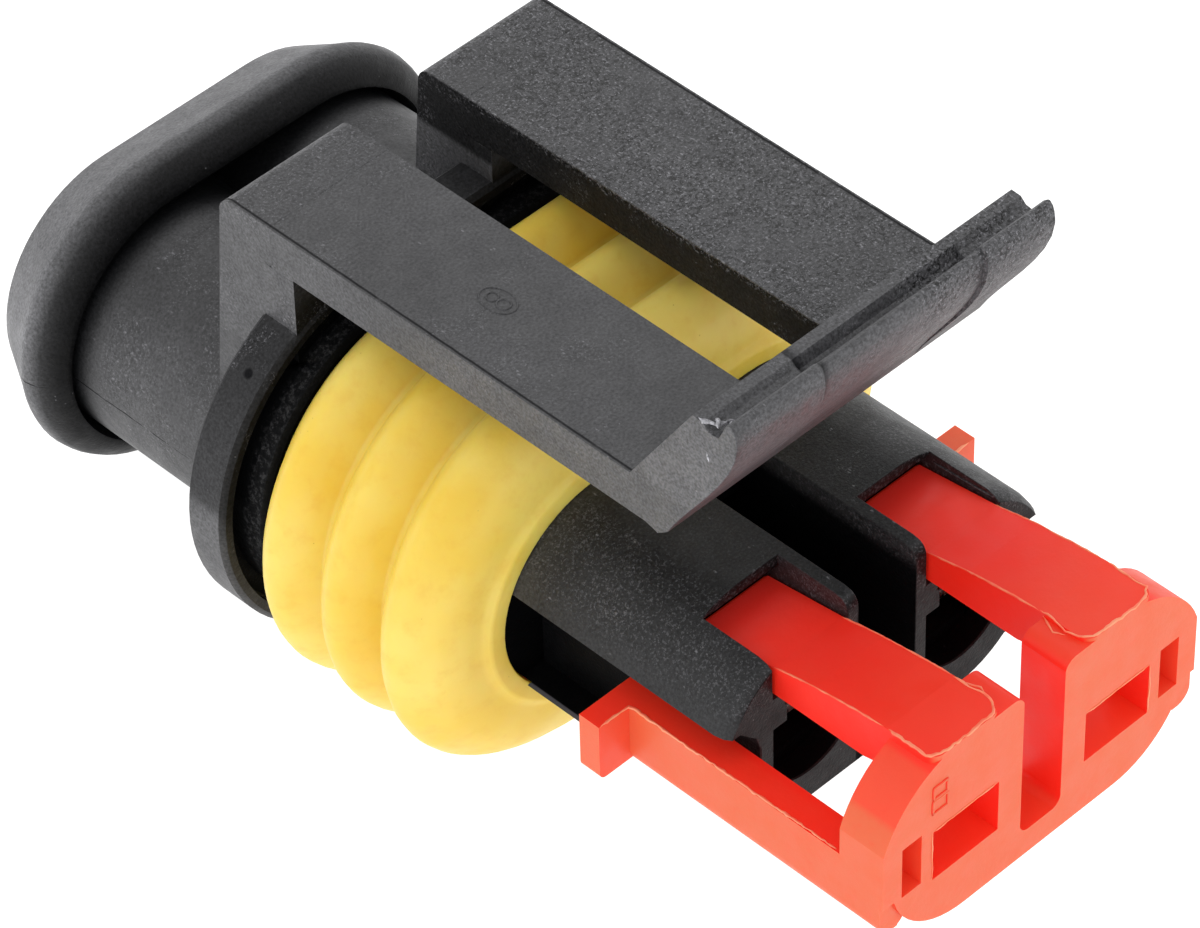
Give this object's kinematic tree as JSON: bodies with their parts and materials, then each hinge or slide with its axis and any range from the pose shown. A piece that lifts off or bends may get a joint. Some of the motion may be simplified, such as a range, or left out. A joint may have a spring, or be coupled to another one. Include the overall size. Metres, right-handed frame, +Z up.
{
  "type": "sealed wire-to-wire plug connector",
  "caption": "Sealed automotive plug connector housing with a sprung latch, ribbed interface seal, sliding secondary lock, socket contacts and wire seals.",
  "frame": {"origin": "middle of the overall box on the surface the plug lies on, the seal ribs touching it", "axes": "+Z up towards the latch, -Y the mating direction, +Y the wire side, +X to the right seen from the mating side"},
  "size_m": [0.0192, 0.0342, 0.0196],
  "materials": {
    "housing_plastic": "fine spark-eroded grain, black glass-filled plastic",
    "latch_plastic": "fine spark-eroded grain, black glass-filled plastic",
    "seal_silicone": "satin silicone rubber",
    "lock_plastic": "satin, slightly translucent plastic",
    "contact_metal": "tin plate over brass sheet",
    "wire_seal_silicone": "satin silicone rubber"
  },
  "bodies": {
    "plug": {"housing": "housing_plastic", "interface_seal": "seal_silicone", "contact_left": "contact_metal", "contact_right": "contact_metal", "wire_seal_left": "wire_seal_silicone", "wire_seal_right": "wire_seal_silicone"},
    "latch": {"latch_frame": "latch_plastic"},
    "lock": {"secondary_lock": "lock_plastic"}
  },
  "joints": [
    {"name": "latch_flex", "type": "hinge", "parent": "plug", "child": "latch", "pos_m": [0, 0.00595, 0.01485], "axis": [-1, 0, 0], "range_deg": [0, 8], "stiffness_Nm_per_rad": 0.9},
    {"name": "lock_slide", "type": "slide", "parent": "plug", "child": "lock", "axis": [0, 1, 0], "range_m": [0, 0.0025]}
  ]
}
